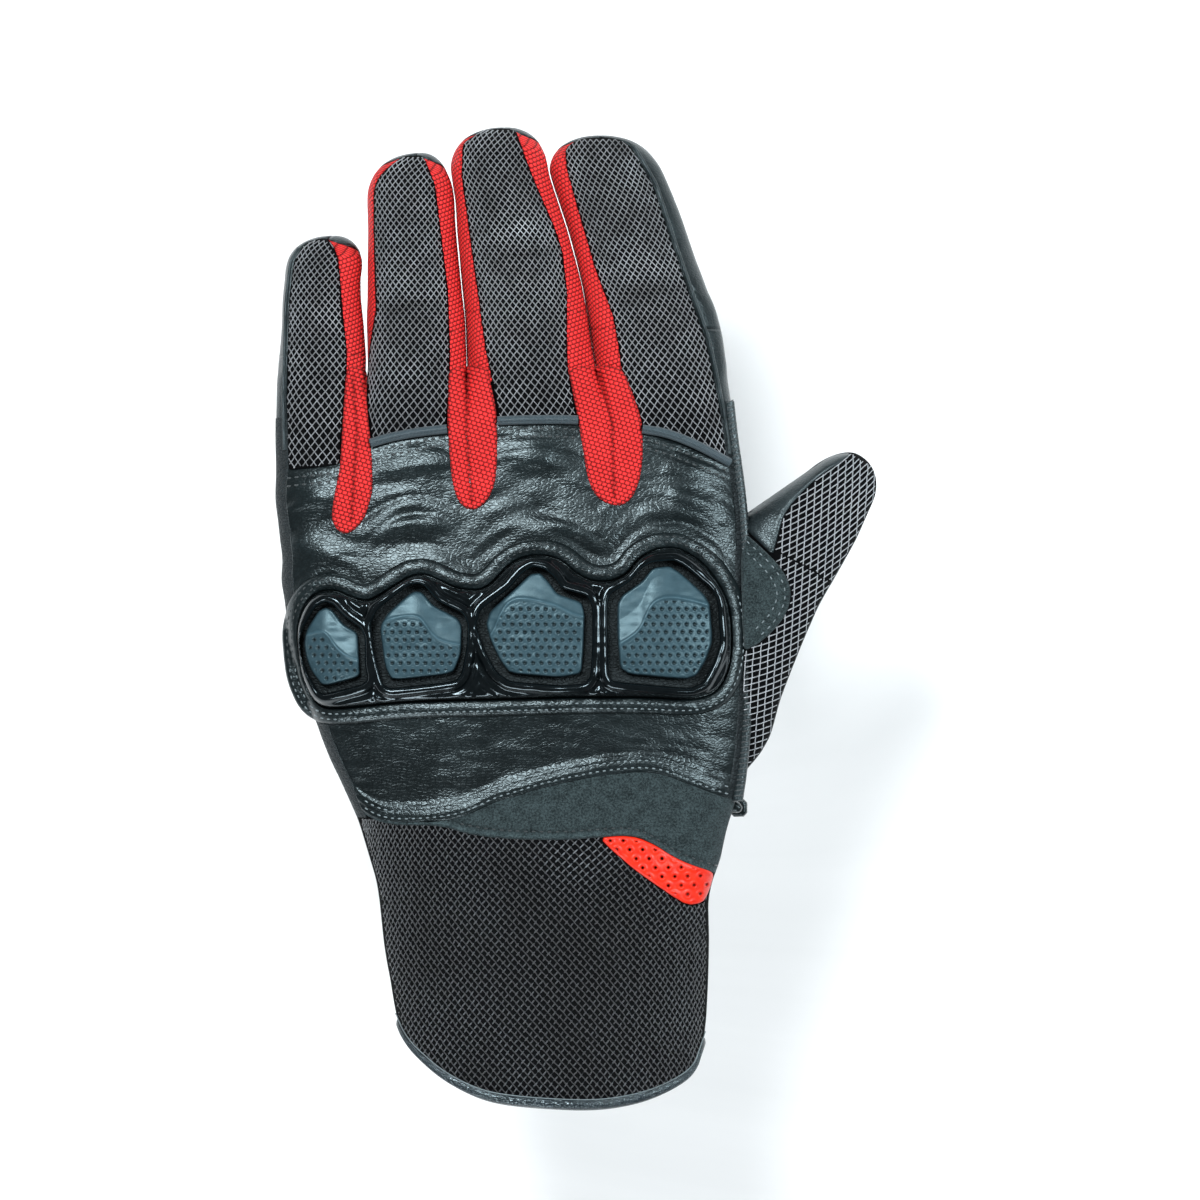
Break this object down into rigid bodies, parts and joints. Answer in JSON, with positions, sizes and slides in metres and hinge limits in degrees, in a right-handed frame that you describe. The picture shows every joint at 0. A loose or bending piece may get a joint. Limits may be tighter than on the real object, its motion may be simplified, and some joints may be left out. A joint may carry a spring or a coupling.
{
  "type": "riding glove",
  "caption": "Left riding glove, palm down: net mesh fingers and cuff, leather palm and back, moulded knuckle guard with padded windows, wrist strap.",
  "frame": {"origin": "centre of the bounding box in plan, on the flat underside of the palm reinforcement", "axes": "+Y towards the fingers, +X towards the thumb, +Z out of the back of the hand"},
  "size_m": [0.15, 0.2455, 0.0367],
  "materials": {
    "black_leather": "creased black leather with a soft sheen",
    "palm_leather": "smooth matt black leather",
    "net_mesh": "black net mesh over a dark lining",
    "red_knit": "bright red stretch knit",
    "guard_plastic": "glossy black moulding",
    "grey_insert": "slate grey dotted soft insert",
    "grey_piping": "grey piping",
    "grey_suede": "dark grey suede",
    "orange_red": "perforated orange-red leather",
    "hem_binding": "glossy black binding tape",
    "foam": "soft foam",
    "hook_tape": "hook and loop tape"
  },
  "bodies": {
    "hand": {"palm_panel": "palm_leather", "palm_patch": "palm_leather", "back_leather": "black_leather", "mesh_yoke": "net_mesh", "suede_wrist_panel": "grey_suede", "guard_rim": "black_leather", "guard_foam": "foam", "knuckle_guard": "guard_plastic", "guard_insert_little": "grey_insert", "guard_insert_ring": "grey_insert", "guard_insert_mid": "grey_insert", "guard_insert_index": "grey_insert", "piping_ring": "grey_piping", "piping_mid": "grey_piping", "piping_index": "grey_piping", "tongue_little_ring": "red_knit", "tongue_ring_mid": "red_knit", "tongue_mid_index": "red_knit", "strap_loop_patch": "hook_tape", "strap_tab": "black_leather"},
    "cuff": {"cuff_back_mesh": "net_mesh", "cuff_palm_panel": "palm_leather", "hem_binding": "hem_binding", "wrist_accent": "orange_red"},
    "strap": {"closure_strap": "black_leather", "strap_hook_pad": "hook_tape"},
    "thumb_base": {"thumb_base_back": "net_mesh", "thumb_base_palm": "palm_leather", "thumb_gusset": "grey_suede"},
    "thumb_tip": {"thumb_tip_back": "net_mesh", "thumb_tip_palm": "palm_leather"},
    "little_base": {"little_base_back": "net_mesh", "little_base_palm": "palm_leather", "little_base_side_r": "red_knit"},
    "little_tip": {"little_tip_back": "net_mesh", "little_tip_palm": "palm_leather", "little_tip_side_r": "red_knit"},
    "ring_base": {"ring_base_back": "net_mesh", "ring_base_palm": "palm_leather", "ring_base_side_l": "red_knit", "ring_base_side_r": "red_knit"},
    "ring_tip": {"ring_tip_back": "net_mesh", "ring_tip_palm": "palm_leather", "ring_tip_side_l": "red_knit", "ring_tip_side_r": "red_knit"},
    "mid_base": {"mid_base_back": "net_mesh", "mid_base_palm": "palm_leather", "mid_base_side_l": "red_knit", "mid_base_side_r": "red_knit"},
    "mid_tip": {"mid_tip_back": "net_mesh", "mid_tip_palm": "palm_leather", "mid_tip_side_l": "red_knit", "mid_tip_side_r": "red_knit"},
    "index_base": {"index_base_back": "net_mesh", "index_base_palm": "palm_leather", "index_base_side_l": "red_knit"},
    "index_tip": {"index_tip_back": "net_mesh", "index_tip_palm": "palm_leather", "index_tip_side_l": "red_knit"}
  },
  "joints": [
    {"name": "little_knuckle", "type": "hinge", "parent": "hand", "child": "little_base", "pos_m": [-0.0645, 0.0571, 0.0072], "axis": [-0.9994, 0.0349, 0], "range_deg": [0, 55]},
    {"name": "little_middle_joint", "type": "hinge", "parent": "little_base", "child": "little_tip", "pos_m": [-0.06396, 0.07259, 0.0072], "axis": [-0.9994, 0.0349, 0], "range_deg": [0, 65]},
    {"name": "ring_knuckle", "type": "hinge", "parent": "hand", "child": "ring_base", "pos_m": [-0.0411, 0.0581, 0.0072], "axis": [-1, 0, 0], "range_deg": [0, 55]},
    {"name": "ring_middle_joint", "type": "hinge", "parent": "ring_base", "child": "ring_tip", "pos_m": [-0.0411, 0.0821, 0.0072], "axis": [-1, 0, 0], "range_deg": [0, 65]},
    {"name": "mid_knuckle", "type": "hinge", "parent": "hand", "child": "mid_base", "pos_m": [-0.01125, 0.0581, 0.0072], "axis": [-0.993, -0.1184, 0], "range_deg": [0, 55]},
    {"name": "mid_middle_joint", "type": "hinge", "parent": "mid_base", "child": "mid_tip", "pos_m": [-0.01528, 0.09186, 0.0072], "axis": [-0.993, -0.1184, 0], "range_deg": [0, 65]},
    {"name": "index_knuckle", "type": "hinge", "parent": "hand", "child": "index_base", "pos_m": [0.0219, 0.0576, 0.0072], "axis": [-0.9736, -0.2284, 0], "range_deg": [0, 55]},
    {"name": "index_middle_joint", "type": "hinge", "parent": "index_base", "child": "index_tip", "pos_m": [0.01573, 0.08389, 0.0072], "axis": [-0.9736, -0.2284, 0], "range_deg": [0, 65]},
    {"name": "thumb_base_joint", "type": "hinge", "parent": "hand", "child": "thumb_base", "pos_m": [0.0442, -0.004, 0.011], "axis": [0, 1, 0], "range_deg": [0, 35]},
    {"name": "thumb_tip_joint", "type": "hinge", "parent": "thumb_base", "child": "thumb_tip", "pos_m": [0.0585, 0.02036, 0.0072], "axis": [-0.866, 0.5, 0], "range_deg": [0, 50]},
    {"name": "wrist_joint", "type": "hinge", "parent": "hand", "child": "cuff", "pos_m": [-0.009, -0.0582, 0.015], "axis": [0.995, -0.0995, 0], "range_deg": [-20, 30]},
    {"name": "strap_joint", "type": "hinge", "parent": "hand", "child": "strap", "pos_m": [0.0386, -0.046, 0.0011], "axis": [0, -1, 0], "range_deg": [0, 110]}
  ]
}
